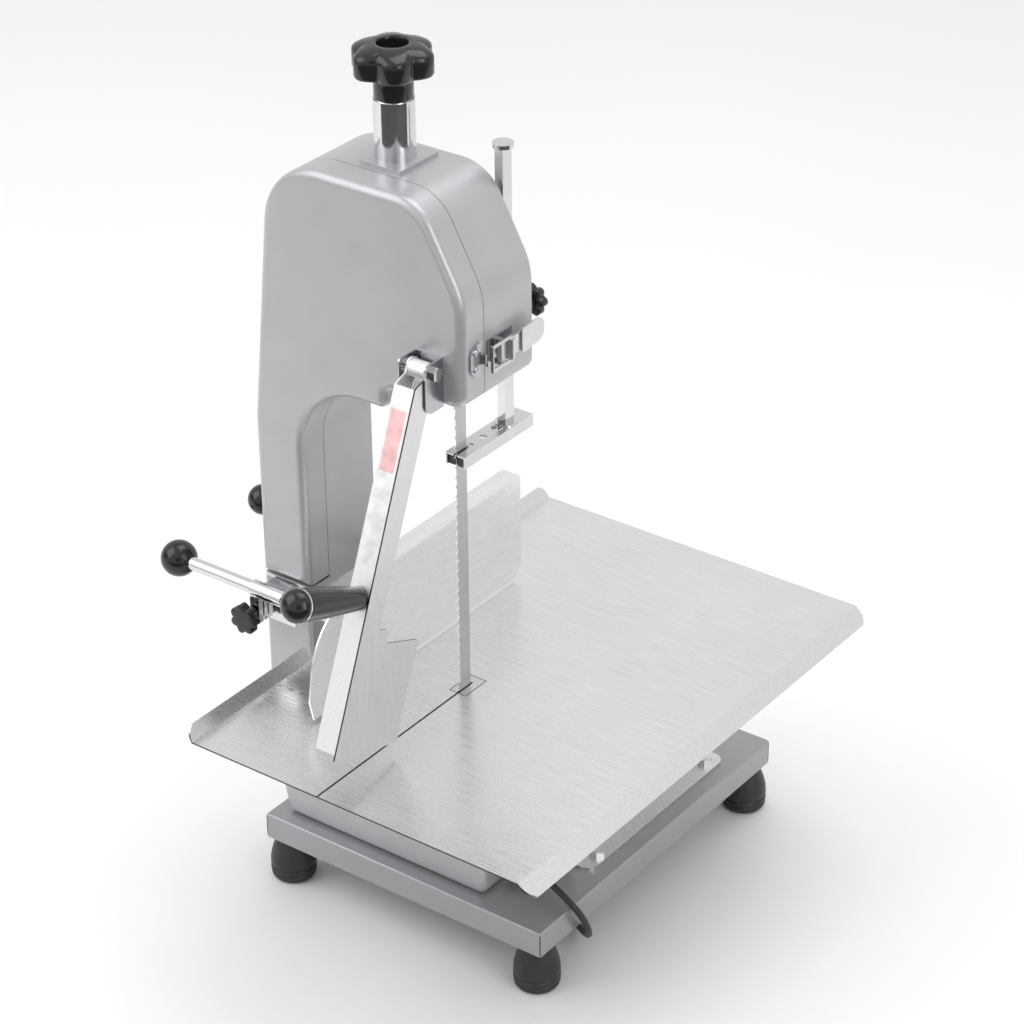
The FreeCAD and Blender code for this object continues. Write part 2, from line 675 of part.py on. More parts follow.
# ---------------------------------------------------------------- pusher

def make_pusher():
    """Swinging pusher, drawn hanging from its pivot and then tilted toward the operator."""
    tilt = FreeCAD.Rotation(FreeCAD.Vector(1, 0, 0), -D.pusher_tilt.value)
    left, right, thick = D.pusher_left, D.pusher_right, D.skin

    def hang(name, item):
        item = join(item) if item.TypeId != "PartDesign::Body" else item
        x = PLACES[item.Name][0]
        place(item, x, D.pivot_y, D.pivot_z, tilt)
        return node(name, item)

    web, rear, end = -D.pusher_web, D.pusher_rear, -D.pusher_length
    tab = 8
    head = [(web, -14), (-tab, -5), (-tab, tab + 0.5, 6), (tab, tab + 0.5, 6), (tab, -6), (rear, -12)]
    wall = extrude("YZ", head + [(rear, end + 5), (web, end + 5)], left, thick)
    face = block(left, right - thick, web, web + thick, end + 5, -14)
    barrel = rod("+x", left, 0, 0, 7.5, right - thick - left)
    bore = D.bolt_radius + 0.06
    hang("pusher_arm", cut(join(wall, face, barrel), rod("+x", left - 1, 0, 0, bore, 40)))
    start = D.plate_start
    reach = D.plate_reach
    outline = head + [(rear, -204), (6, -215.5), (14.5, -215.5), (20, -218.5), (17, -223),
                      (20, -start), (reach - 4, -start), (reach + 1, -start - 4)]
    step = 6.1
    for index in range(13):
        z = -start - 7 - step * index
        outline += [(reach - 3, z), (reach, z - step + 1.5)]
    outline += [(reach - 2, -318.5), (-8, end), (web, end)]
    sheet = extrude("YZ", outline, right - thick, thick)
    hang("pusher_plate", cut(sheet, rod("+x", left - 1, 0, 0, bore, 40)))
    length = D.grip_length
    dome = 14
    middle = (left + right) / 2
    barrel = [(0, 0), (9, 0), (10.2, 2), (10.8, 12), (11.8, 26), (13, 42), (13.8, 58),
              (dome, length), (0, length)]
    rim = dome + 0.4
    band = 1.6
    cap = [(0, 0), (dome, 0), (dome - 0.5, 3.5), (dome - 2.6, 7.5), (dome - 6.6, 10.6), (0, 12)]
    turn = tilt.multiply(TURNS["-y"])
    sine, cosine = math.sin(math.radians(D.pusher_tilt.value)), math.cos(math.radians(D.pusher_tilt.value))

    def stand(profile, along):
        out = D.pusher_web + along
        y = D.pivot_y - out * cosine - D.grip_along * sine
        z = D.pivot_z + out * sine - D.grip_along * cosine
        return place(turned("+z", 0, 0, 0, profile), middle, y, z, turn)

    node("pusher_grip", several([stand(barrel, 0), stand(cap, length + band)]))
    node("grip_ring", stand([(0, 0), (rim, 0), (rim, band), (0, band)], length))


# ---------------------------------------------------------------- fence

def star_knob(direction, x, y, z, radius, depth, bore):
    """Five-lobed clamp knob that starts at a point and runs along +Y or -Y, bored for its screw."""
    lobe = 4.4
    face = 6.5
    shank, plate = radius / 2, radius - 3
    profile = [(bore, 0), (shank, 0), (shank, face - 0.5), (plate, face), (plate, depth),
               (plate - 3, depth + 1), (0, depth + 1), (0, 5), (bore, 5)]
    core = turned(direction, x, y, z, profile)
    reach = radius - lobe
    sign = -1 if direction == "-y" else 1
    lobes = []
    for index in range(5):
        angle = math.radians(72 * index + 18)
        lobes.append(rod(direction, x + reach * math.cos(angle), y + sign * (face + 1),
                         z + reach * math.sin(angle), lobe, depth - face - 2))
    return join(core, *lobes)


def make_fence():
    """Gauge plate, its two rods with collars, and the ball handle."""
    x = D.fence_x
    low, top = D.fence_low, D.fence_top
    outline = [(D.fence_front + 5, low), (D.fence_back - 10, low), (D.fence_back, low + 12),
               (D.fence_back, top), (D.fence_front + 14, top, D.fence_round), (D.fence_front, low + 20, 10)]
    plate = extrude("YZ", outline, x - D.skin, D.skin)
    flange = block(x - D.fence_flange, x, D.fence_front + 52, D.fence_back, top - D.skin, top)
    node("fence_plate", join(plate, flange))
    inner = x - D.skin
    rods = [rod("-x", inner, y, D.rod_z, D.rod_radius, inner - end)
            for y, end in ((D.front_rod_y, D.rod_end), (D.rear_rod_y, D.casing_left))]
    collars = [ring("-x", inner, y, D.rod_z, D.rod_radius, 9, 6) for y in (D.front_rod_y, D.rear_rod_y)]
    node("fence_rods", several(rods + collars))
    socket = 20
    node("fence_ball", cut(ball(D.rod_end - D.ball_radius + 5, D.front_rod_y, D.rod_z, D.ball_radius),
                           rod("-x", D.rod_end + socket, D.front_rod_y, D.rod_z, D.rod_radius, socket)))


def make_sleeves():
    """Slit clamp sleeve and gauge strap of the front rod, sleeve of the rear rod, and the clamp knob."""
    running = 0.05
    near, far = D.casing_left + 2, D.throat_left - 15
    front, rear = D.front_rod_y, D.rear_rod_y
    z = D.rod_z
    outer = D.rod_radius + 1.7
    lug_width = 12
    screw_z = z - 22
    tube = rod("+x", near + 2, front, z, outer, far - near)
    bridge = block(near + lug_width, far, front, D.cover_front, z - 7, z + 6)
    lug = block(near + 2, near + lug_width, front - 6, front + 6, z - 30, z)
    strap = block(near + 2, far + 10, front + 3, front + 5.5, z - 27, z - 5)
    bore = rod("+x", near, front, z, D.rod_radius + running, far - near + 10)
    slit = block(near, near + lug_width + 1, front - 0.8, front + 0.8, z - 31, z - 3)
    screw_hole = rod("+y", near + 6, front - 20, screw_z, 3.05, 40)
    clamp = cut(join(tube, bridge, lug, strap), bore, slit, screw_hole)
    stay = block(near + 6, far - 4, D.casing_back, rear, z - 6, z + 6)
    guide = cut(join(rod("+x", near, rear, z, outer, far - near), stay),
                rod("+x", near - 1, rear, z, D.rod_radius + running, far - near + 2))
    node("rod_sleeves", several([clamp, guide]))
    node("fence_clamp_screw", rod("-y", near + 6, front + 7, screw_z, 3, 19))
    node("fence_clamp_knob", star_knob("-y", near + 6, front - 7.4, screw_z, 14, 14, 3))


def make_side_handle():
    """Ball knob on a short stem, screwed into the left wall of the casing."""
    y, z = 1, 366
    stem_radius = 4.5
    stem = rod("-x", D.casing_left, y, z, stem_radius, 15)
    node("side_handle_stem", join(stem, rod("-x", D.casing_left, y, z, stem_radius + 1.3, 2)))
    node("side_handle_ball", cut(ball(D.casing_left - 25, y, z, 13.7),
                                 rod("-x", D.casing_left, y, z, stem_radius, 15)))


# ---------------------------------------------------------------- guide post

def make_guide():
    """Square post with a folded arm, blade guides and a clamp block with its knob."""
    half = D.post_width / 2
    y0, y1 = D.post_front, D.post_front + D.post_depth
    arm_top = D.arm_low + D.arm_height
    middle = (y0 + y1) / 2
    post = block(-half, half, y0, y1, arm_top, D.post_top - 3)
    cap = rod("+z", 0, middle, D.post_top - 3, 9, 3.5)
    wide = D.arm_half
    skin = D.skin
    channel = cut(block(-wide, wide, D.arm_front, D.arm_back, D.arm_low, arm_top),
                  block(-wide + skin, wide - skin, D.arm_front - 1, D.arm_back + 1, D.arm_low - 1,
                        arm_top - skin))
    kerf = block(-1.8, 1.8, D.arm_front - 1, 22, D.arm_low - 1, arm_top + 1)
    holes = [rod("+z", 0, y, D.arm_low, radius, 20) for y, radius in ((36, 3.75), (56, 5))]
    node("guide_arm", cut(channel, kerf, *holes))
    nut = prism("-z", 0, middle, arm_top - skin, 13, 8)
    washer = cut(rod("+z", 0, middle, arm_top, 9.5, 1.2), block(-half, half, y0, y1, arm_top, arm_top + 2))
    node("guide_post", several([post, cap, nut, washer]))
    sides = []
    for near, far in ((-wide + skin, -1), (1, wide - skin)):
        sides.append(block(near, far, 0.5, 13, D.arm_low, arm_top - skin))
    node("blade_side_guides", several(sides))
    roller = 4.3
    axle_y = D.blade_width - D.tooth_depth + D.slack + roller
    axle_z = D.arm_low + roller + 0.4
    axle_radius = 2
    drum = rod("+x", -3, axle_y, axle_z, roller, 6)
    stubs = [rod("+x", x, axle_y, axle_z, axle_radius, wide - skin - 3) for x in (-wide + skin, 3)]
    node("blade_back_roller", several([drum, *stubs]))
    z0, z1 = 545, 610
    back = D.casing_back
    hole = block(-half - 0.05, half + 0.05, y0 - 0.05, y1 + 0.05, z0 - 1, z1 + 1)
    clamp = block(-12, 12, back, y1 + 9, z0, z1)
    node("post_clamp", cut(clamp, hole, rod("+y", 0, y1, D.pivot_z, 3.05, 20)))
    node("post_clamp_screw", rod("+y", 0, y1 + 0.4, D.pivot_z, 3, 26))
    node("post_clamp_knob", star_knob("+y", 0, y1 + 21.6, D.pivot_z, 14, 14, 3))
    scraper_low, scraper_top = 216, D.lower_top - skin
    scrapers = [block(near, near + 7, 2, 12, scraper_low, scraper_top) for near in (-8.2, 1.2)]
    node("blade_scrapers", several(scrapers))


# ---------------------------------------------------------------- cord

def sweep(name, points, radius):
    """Round bar along a route of straight runs joined by tangent arcs."""
    route = [FreeCAD.Vector(*point) for point in points]
    edges, last = [], route[0]
    for before, corner, after in zip(route, route[1:], route[2:]):
        toward, away = (before - corner), (after - corner)
        toward.normalize()
        away.normalize()
        cut_back = 0.45 * min((before - corner).Length, (after - corner).Length)
        half = (math.pi - toward.getAngle(away)) / 2
        bend = cut_back / math.tan(half)
        enter, leave = corner + toward * cut_back, corner + away * cut_back
        middle = toward + away
        middle.normalize()
        apex = corner + middle * (bend / math.cos(half) - bend)
        edges += [Part.makeLine(last, enter), Part.Arc(enter, apex, leave).toShape()]
        last = leave
        print(f"{name} bend radius {bend:.1f}")
    edges.append(Part.makeLine(last, route[-1]))
    spine = Part.Wire(edges)
    section = Part.Wire(Part.makeCircle(radius, route[0], route[1] - route[0]))
    solid = spine.makePipeShell([section], True, True)
    print(f"{name} volume {solid.Volume:.0f} against {math.pi * radius ** 2 * spine.Length:.0f}")
    item = DOCUMENT.addObject("Part::Feature", "Sweep")
    item.Shape = solid
    PLACES[item.Name] = (size(0), size(0), size(0), FreeCAD.Rotation())
    return item


CORD_ROUTE = [(60, 10, 82), (83, 7, 82), (110, -3, 81), (127, 1, 64), (126, 14, 38), (111, 33, 15),
              (82, 54, 4.5), (50, 80, 4.3), (23, 108, 5), (3, 138, 8), (-7, 166, 9.5)]


def make_cord():
    """Gland, visible run, closed coil and plug of the supply cord."""
    x0, y0, z0 = CORD_ROUTE[0]
    length = x0 - D.lower_right
    gland = [(0, 0), (10, 0), (10, 5), (7, 6), (5, length), (0, length)]
    node("cord_gland", turned("+x", D.lower_right, y0, z0, gland))
    node("cord_tube", sweep("cord_tube", CORD_ROUTE, D.cord_radius.value))
    coil = DOCUMENT.addObject("Part::Torus", "Torus")
    bind(coil, "Radius1", D.coil_radius)
    bind(coil, "Radius2", D.coil_section)
    node("cord_coil", place(coil, D.coil_x, D.coil_y, D.coil_section + 0.3))
    half, depth, round_end = 12, 32, 6
    near = D.coil_y + D.coil_radius + 7
    plug = [(D.coil_x - half, near), (D.coil_x + half, near), (D.coil_x + half, near + depth, round_end),
            (D.coil_x - half, near + depth, round_end)]
    node("plug", extrude("XY", plug, 0.5, 26))


# ---------------------------------------------------------------- build

def finish():
    """Recompute, check every object and write one file per node."""
    DOCUMENT.recompute()
    for item in DOCUMENT.Objects:
        if "Invalid" in item.State or "Error" in item.State:
            raise ValueError(f"{item.Label} {item.TypeId} failed")
    os.makedirs("parts", exist_ok=True)
    for name, item in NODES.items():
        shape = item.Shape
        if shape.isNull() or not shape.isValid() or shape.Volume <= 0:
            raise ValueError(f"{name} has no valid shape")
        shape.exportStep(f"parts/{name}.step")
        box = shape.BoundBox
        print(f"{name} {len(shape.Solids)} {shape.Volume:.0f} x {box.XMin:.1f} {box.XMax:.1f} "
              f"y {box.YMin:.1f} {box.YMax:.1f} z {box.ZMin:.1f} {box.ZMax:.1f}")


make_base()
make_casing()
make_door()
make_wheels()
make_carriage()
make_blade()
make_table()
make_motor()
make_latch()
make_bracket()
make_pusher()
make_fence()
make_sleeves()
make_side_handle()
make_guide()
make_cord()
finish()
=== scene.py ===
import json
import math

import bmesh
import bpy
from mathutils import Matrix, Vector


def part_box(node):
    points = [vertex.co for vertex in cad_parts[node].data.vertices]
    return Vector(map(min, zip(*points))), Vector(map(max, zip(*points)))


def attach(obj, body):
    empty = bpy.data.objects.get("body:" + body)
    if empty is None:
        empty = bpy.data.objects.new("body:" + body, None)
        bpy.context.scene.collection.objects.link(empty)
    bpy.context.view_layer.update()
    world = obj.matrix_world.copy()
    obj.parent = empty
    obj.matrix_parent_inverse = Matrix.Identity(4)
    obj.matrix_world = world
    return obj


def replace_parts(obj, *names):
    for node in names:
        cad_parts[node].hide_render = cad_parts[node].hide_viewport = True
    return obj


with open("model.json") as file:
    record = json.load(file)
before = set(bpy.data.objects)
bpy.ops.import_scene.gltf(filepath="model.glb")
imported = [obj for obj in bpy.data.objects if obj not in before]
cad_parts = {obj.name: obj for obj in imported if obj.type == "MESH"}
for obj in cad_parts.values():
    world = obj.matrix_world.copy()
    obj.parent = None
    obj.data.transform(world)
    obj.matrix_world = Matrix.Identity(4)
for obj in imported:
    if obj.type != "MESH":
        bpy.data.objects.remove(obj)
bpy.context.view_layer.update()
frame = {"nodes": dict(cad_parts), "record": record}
NODES = frame["nodes"]


# ---------------------------------------------------------------- places, from the frame

def middle(name):
    """Centre of a CAD node's box."""
    low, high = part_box(name)
    return (Vector(low) + Vector(high)) / 2


def span(name):
    """Lowest and highest corner of a CAD node as vectors."""
    low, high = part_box(name)
    return Vector(low), Vector(high)


BLADE_X = middle("saw_blade").x + 0.075
GULLET_Y = span("saw_blade")[0].y + 0.0024
MM = 0.001
PUSHER_TILT = math.radians(22.2)
VIEW_AZIMUTH = math.radians(36.64)
TABLE_LIP_RISE = 0.012
CLAMP_KNOB_RADIUS = 0.0141
GRIP_LENGTH = 0.0798
GRIP_BEHIND_RING = 0.0806
FOOT_RADIUS = 0.021
CORD_DIAMETER = 0.006
COIL_TURNS = 5
COIL_POINTS_PER_TURN = 16


def at(x, y, z):
    """A point given in millimetres from the blade, in the row frame."""
    return Vector((BLADE_X + x * MM, GULLET_Y + y * MM, z * MM))


# ---------------------------------------------------------------- materials

class Graph:
    """A material's node tree with short helpers."""

    def __init__(self, name):
        self.material = bpy.data.materials.new(name)
        self.material.use_nodes = True
        self.tree = self.material.node_tree
        self.shader = self.tree.nodes["Principled BSDF"]
        self.coords = self.add("ShaderNodeTexCoord")

    def add(self, kind, **values):
        item = self.tree.nodes.new(kind)
        for key, value in values.items():
            setattr(item, key, value)
        return item

    def link(self, source, target):
        self.tree.links.new(source, target)

    def noise(self, scale, detail=4.0, stretch=(1, 1, 1), turn=(0, 0, 0)):
        mapping = self.add("ShaderNodeMapping")
        mapping.inputs["Scale"].default_value = stretch
        mapping.inputs["Rotation"].default_value = turn
        self.link(self.coords.outputs["Object"], mapping.inputs["Vector"])
        noise = self.add("ShaderNodeTexNoise")
        noise.inputs["Scale"].default_value = scale
        noise.inputs["Detail"].default_value = detail
        self.link(mapping.outputs["Vector"], noise.inputs["Vector"])
        return noise.outputs["Fac"]

    def ramp(self, source, low, high, start=0.3, end=0.7):
        item = self.add("ShaderNodeMapRange")
        item.inputs["From Min"].default_value = start
        item.inputs["From Max"].default_value = end
        item.inputs["To Min"].default_value = low
        item.inputs["To Max"].default_value = high
        self.link(source, item.inputs["Value"])
        return item.outputs["Result"]

    def mix(self, source, dark, light):
        item = self.add("ShaderNodeMix", data_type="RGBA")
        item.inputs["A"].default_value = (*dark, 1)
        item.inputs["B"].default_value = (*light, 1)
        self.link(source, item.inputs["Factor"])
        return item.outputs["Result"]

    def blend(self, source, first, second):
        item = self.add("ShaderNodeMix", data_type="RGBA")
        self.link(source, item.inputs["Factor"])
        self.link(first, item.inputs["A"])
        self.link(second, item.inputs["B"])
        return item.outputs["Result"]

    def facing(self, axis, start, end):
        """1 where the surface normal's share along an axis passes from start to end."""
        dot = self.add("ShaderNodeVectorMath", operation="DOT_PRODUCT")
        dot.inputs[1].default_value = axis
        self.link(self.coords.outputs["Normal"], dot.inputs[0])
        size = self.add("ShaderNodeMath", operation="ABSOLUTE")
        self.link(dot.outputs["Value"], size.inputs[0])
        return self.ramp(size.outputs["Value"], 0, 1, start, end)

    def bump(self, source, strength, distance):
        item = self.add("ShaderNodeBump")
        item.inputs["Strength"].default_value = strength
        item.inputs["Distance"].default_value = distance
        self.link(source, item.inputs["Height"])
        self.link(item.outputs["Normal"], self.shader.inputs["Normal"])

    def set(self, **values):
        for key, value in values.items():
            self.shader.inputs[key.replace("_", " ")].default_value = value

    def colour(self, output):
        self.link(output, self.shader.inputs["Base Color"])

    def roughness(self, output):
        self.link(output, self.shader.inputs["Roughness"])


def shade(colour, factor):
    """A colour made darker or lighter."""
    return tuple(min(1, channel * factor) for channel in colour)


def painted(name, colour, metallic=0.45, rough=0.34):
    """Sprayed metallic enamel: fine orange peel and slight mottling."""
    graph = Graph(name)
    mottle = graph.ramp(graph.noise(25, 3), 0, 1)
    graph.colour(graph.mix(mottle, shade(colour, 0.97), shade(colour, 1.03)))
    graph.roughness(graph.ramp(graph.noise(300, 4), rough - 0.03, rough + 0.04))
    graph.bump(graph.noise(900, 2), 0.05, 0.0002)
    graph.set(Metallic=metallic, Coat_Weight=0.25, Coat_Roughness=0.25)
    return graph.material


def brushed(name, colour, stretch, rough=0.3, metallic=1.0, depth=0.12, shaded_faces=None):
    """Satin sheet steel with long fine scratches in one direction.

    Faces whose normal lies from start to end along a given (axis, start, end) are painted near black:
    painted shade, standing for the dark bands along the sheet's cut edges and folded flanges.
    """
    graph = Graph(name)
    grain = graph.noise(900, 5, stretch)
    shine = graph.ramp(graph.noise(3, 2), 0, 1)
    dark = graph.mix(shine, shade(colour, 0.9), shade(colour, 0.97))
    light = graph.mix(shine, shade(colour, 1.0), shade(colour, 1.06))
    face = graph.blend(graph.ramp(grain, 0, 1), dark, light)
    if shaded_faces:
        # Painted shade: faces turned along the axis take a near-black colour in place of the steel's own.
        painted_shade = graph.mix(grain, (0.05, 0.05, 0.052), (0.09, 0.09, 0.09))
        face = graph.blend(graph.facing(*shaded_faces), face, painted_shade)
    graph.colour(face)
    graph.roughness(graph.ramp(grain, rough - 0.06, rough + 0.08))
    graph.bump(grain, depth, 0.0001)
    graph.set(Metallic=metallic)
    return graph.material


def polished(name, colour=(0.82, 0.83, 0.84), rough=0.09):
    """Bright plated steel with faint handling marks."""
    graph = Graph(name)
    graph.roughness(graph.ramp(graph.noise(220, 5), rough - 0.03, rough + 0.06))
    graph.colour(graph.mix(graph.ramp(graph.noise(40, 2), 0, 1), shade(colour, 0.95), colour))
    graph.bump(graph.noise(500, 3), 0.015, 0.0001)
    graph.set(Metallic=1.0)
    return graph.material


def plastic(name, colour, rough=0.2, grain=1300, depth=0.04):
    """Moulded plastic with a slight surface texture."""
    graph = Graph(name)
    graph.colour(graph.mix(graph.ramp(graph.noise(90, 3), 0, 1), shade(colour, 0.85), shade(colour, 1.15)))
    graph.roughness(graph.ramp(graph.noise(260, 4), rough - 0.04, rough + 0.07))
    graph.bump(graph.noise(grain, 3), depth, 0.0001)
    graph.set(Metallic=0.0)
    return graph.material


ALONG_X_FINE = (0.03, 1, 1)
ALONG_Y = (1, 0.04, 1)
ALONG_Z = (1, 1, 0.04)
NO_DIRECTION = (1, 1, 1)
# Painted shade on the table's faces turned to front and back, its folded flanges.
SHADED_FACES_FACING_Y = ((0, 1, 0), 0.8, 0.95)
# Painted shade on the pusher sheet's cut edges, the faces not turned to the sides.
SHADED_FACES_NOT_FACING_X = ((1, 0, 0), 0.5, 0.2)
MATERIALS = {
    "silver_paint": painted("silver_paint", (0.45, 0.455, 0.47)),
    "base_paint": painted("base_paint", (0.36, 0.365, 0.38), 0.5, 0.34),
    "table_steel": brushed("table_steel", (0.80, 0.80, 0.80), ALONG_X_FINE, 0.26, shaded_faces=SHADED_FACES_FACING_Y),
    "fence_steel": brushed("fence_steel", (0.88, 0.88, 0.88), ALONG_Y, 0.3),
    "plate_steel": brushed("plate_steel", (0.72, 0.72, 0.725), ALONG_Z, 0.3),
    "latch_steel": polished("latch_steel", (0.50, 0.51, 0.53), 0.2),
    "pusher_steel": brushed("pusher_steel", (0.74, 0.74, 0.75), ALONG_Z, 0.3,
                            shaded_faces=SHADED_FACES_NOT_FACING_X),
    # Painted reflection: the arm's brushed steel is brightened nearly to white, standing for the white
    # reflected on its front.
    "arm_steel": brushed("arm_steel", (0.95, 0.95, 0.95), ALONG_Z, 0.35, 0.75),
    "bright_steel": polished("bright_steel", (0.72, 0.73, 0.74)),
    "blade_steel": brushed("blade_steel", (0.54, 0.54, 0.55), ALONG_Z, 0.32),
    "black_plastic": plastic("black_plastic", (0.012, 0.012, 0.013), 0.16),
    "black_rubber": plastic("black_rubber", (0.02, 0.02, 0.021), 0.42, 1100, 0.12),
    "cast_wheel": brushed("cast_wheel", (0.6, 0.6, 0.6), NO_DIRECTION, 0.4),
    "motor_paint": painted("motor_paint", (0.09, 0.1, 0.12), 0.1, 0.45),
    "guide_block": plastic("guide_block", (0.03, 0.03, 0.03), 0.45),
    "button_green": plastic("button_green", (0.02, 0.3, 0.06), 0.25),
    "button_red": plastic("button_red", (0.5, 0.02, 0.015), 0.25),
    "label_film": plastic("label_film", (0.83, 0.82, 0.82), 0.35, depth=0.01),
    "pink_film": plastic("pink_film", (0.86, 0.52, 0.52), 0.35),
    "dark_mark": plastic("dark_mark", (0.03, 0.03, 0.032), 0.5),
}
SPECIAL = {
    "base_tray": "base_paint", "work_table": "table_steel", "blade_insert": "plate_steel",
    "fence_plate": "fence_steel", "pusher_plate": "pusher_steel", "pusher_arm": "arm_steel",
    "post_clamp": "silver_paint", "latch_keeper": "latch_steel", "latch_base": "latch_steel",
    "pusher_bracket": "latch_steel",
}
SLOTS = {"brushed_stainless": "plate_steel"}


def paint(piece, key):
    """Give a piece one material."""
    piece.data.materials.clear()
    piece.data.materials.append(MATERIALS[key])


def paint_nodes():
    """Give every CAD node the material of its slot, or its own."""
    for entry in frame["record"]["subparts"]:
        slot = entry["material_slot"]
        key = SPECIAL.get(entry["node"], SLOTS.get(slot, slot))
        item = NODES[entry["node"]]
        for place in item.material_slots:
            place.material = MATERIALS[key]
        if not item.material_slots:
            item.data.materials.append(MATERIALS[key])


# ---------------------------------------------------------------- mesh helpers

def piece_from(name, mesh, body, key):
    """A named piece from a bmesh, riding on a body, with a material."""
    data = bpy.data.meshes.new(name)
    mesh.normal_update()
    mesh.to_mesh(data)
    mesh.free()
    for face in data.polygons:
        face.use_smooth = True
    item = bpy.data.objects.new(name, data)
    bpy.context.collection.objects.link(item)
    paint(item, key)
    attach(item, body)
    return item


def soften(item, width, segments=3, angle=35):
    """Round the sharp edges of a piece."""
    bevel = item.modifiers.new("round", "BEVEL")
    bevel.width = width
    bevel.segments = segments
    bevel.limit_method = "ANGLE"
    bevel.angle_limit = math.radians(angle)
    return item


def spin(mesh, profile, steps=64):
    """Rings of vertices about +Z through (radius, height) pairs, closed at radius 0."""
    rows = []
    for radius, height in profile:
        if radius < 1e-6:
            rows.append([mesh.verts.new((0, 0, height))])
            continue
        row = []
        for index in range(steps):
            angle = math.tau * index / steps
            row.append(mesh.verts.new((radius * math.cos(angle), radius * math.sin(angle), height)))
        rows.append(row)
    for low, high in zip(rows, rows[1:]):
        for index in range(steps):
            after = (index + 1) % steps
            corners = [low[index % len(low)], low[after % len(low)], high[after % len(high)],
                       high[index % len(high)]]
            unique = list(dict.fromkeys(corners))
            if len(unique) > 2:
                mesh.faces.new(unique)


def star(mesh, lobes, inner, outer, profile, turn=0.0, steps=168):
    """A lobed knob about +Z: (share of the full outline, roundness from 0 to 1, height) rows."""
    rows = []
    for share, roundness, height in profile:
        row = []
        for index in range(steps):
            angle = math.tau * index / steps
            wave = 0.5 + 0.5 * math.cos(lobes * (angle - turn))
            lobed = inner + (outer - inner) * wave ** 0.6
            reach = share * (lobed + (outer - lobed) * roundness)
            row.append(mesh.verts.new((reach * math.cos(angle), reach * math.sin(angle), height)))
        rows.append(row)
    for low, high in zip(rows, rows[1:]):
        for index in range(steps):
            after = (index + 1) % steps
            mesh.faces.new((low[index], low[after], high[after], high[index]))
    mesh.faces.new(rows[0][::-1])
    mesh.faces.new(rows[-1])


def moved(mesh, matrix):
    """Transform all of a bmesh."""
    bmesh.ops.transform(mesh, matrix=matrix, verts=mesh.verts)


def aim(direction, origin):
    """Matrix that stands +Z on a point along a direction."""
    turn = Vector((0, 0, 1)).rotation_difference(Vector(direction).normalized())
    return Matrix.Translation(origin) @ turn.to_matrix().to_4x4()


# ---------------------------------------------------------------- knobs, balls, grip, feet

def tension_wheel():
    """Six-lobed star wheel with a domed top, a sunk centre and a neck."""
    low, high = span("tension_wheel")
    outer = (high.x - low.x) / 2
    top = high.z
    centre = middle("tension_sleeve")
    mesh = bmesh.new()
    rows = [(0.60, 0.3, top - 0.0262), (0.85, 0, top - 0.0255), (0.97, 0, top - 0.0240),
            (1.0, 0, top - 0.0220), (1.0, 0, top - 0.0092), (0.985, 0, top - 0.0072),
            (0.93, 0.05, top - 0.0052),
            (0.80, 0.3, top - 0.0028), (0.62, 0.7, top - 0.0010), (0.47, 1, top - 0.0002),
            (0.40, 1, top), (0.37, 1, top - 0.0006), (0.355, 1, top - 0.004), (0.34, 1, top - 0.010)]
    star(mesh, 6, 0.0285, outer, rows, math.radians(12))
    neck = [(0, top - 0.024), (0.0200, top - 0.024), (0.0168, top - 0.0285), (0.0163, top - 0.034),
            (0.0163, top - 0.0458), (0.0142, top - 0.0462), (0.0142, low.z), (0, low.z)]
    spin(mesh, neck)
    moved(mesh, Matrix.Translation((centre.x, centre.y, 0)))
    wheel = piece_from("star_wheel", mesh, "tension_wheel", "black_plastic")
    soften(wheel, 0.0005, 2, 50)
    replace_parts(wheel, "tension_wheel")
    collar = bmesh.new()
    rim = span("tension_sleeve")[1].z
    spin(collar, [(0.0146, rim - 0.004), (0.0146, rim + 0.0012), (0.0156, rim + 0.0018),
                  (0.0158, rim + 0.0008), (0.0158, rim - 0.004)])
    moved(collar, Matrix.Translation((centre.x, centre.y, 0)))
    piece_from("neck_ring", collar, "tension_wheel", "bright_steel")


def clamp_knob(name, node, body, direction):
    """Seven-lobed clamp knob with a plain face and a shank."""
    low, high = span(node)
    centre = middle(node)
    depth = high.y - low.y
    start = Vector((centre.x, high.y if direction < 0 else low.y, centre.z))
    mesh = bmesh.new()
    rows = [(0.55, 1, 0.0052), (0.9, 0, 0.0056), (1, 0, 0.0066), (1, 0, depth - 0.0012),
            (0.95, 0, depth - 0.0003), (0.8, 0.2, depth), (0.3, 1, depth)]
    star(mesh, 7, 0.0108, CLAMP_KNOB_RADIUS, rows)
    spin(mesh, [(0, 0), (0.0066, 0), (0.0072, 0.0008), (0.0072, 0.0056), (0, 0.0056)], 40)
    moved(mesh, aim((0, direction, 0), start))
    knob = piece_from(name, mesh, body, "black_plastic")
    soften(knob, 0.0003, 2, 50)
    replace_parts(knob, node)


def round_ball(name, node, body):
    """Moulded ball knob with a parting line."""
    low, high = span(node)
    centre = middle(node)
    radius = (high.z - low.z) / 2
    steps = 48
    profile = []
    for index in range(steps + 1):
        angle = math.pi * index / steps - math.pi / 2
        proud = 1.004 if index == steps // 2 else 1.0
        profile.append((max(0.0, radius * math.cos(angle)) * proud, radius * math.sin(angle)))
    profile[0] = (0, -radius)
    profile[-1] = (0, radius)
    mesh = bmesh.new()
    spin(mesh, profile, 72)
    moved(mesh, aim((-1, 0, 0), centre))
    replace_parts(piece_from(name, mesh, body, "black_plastic"), node)


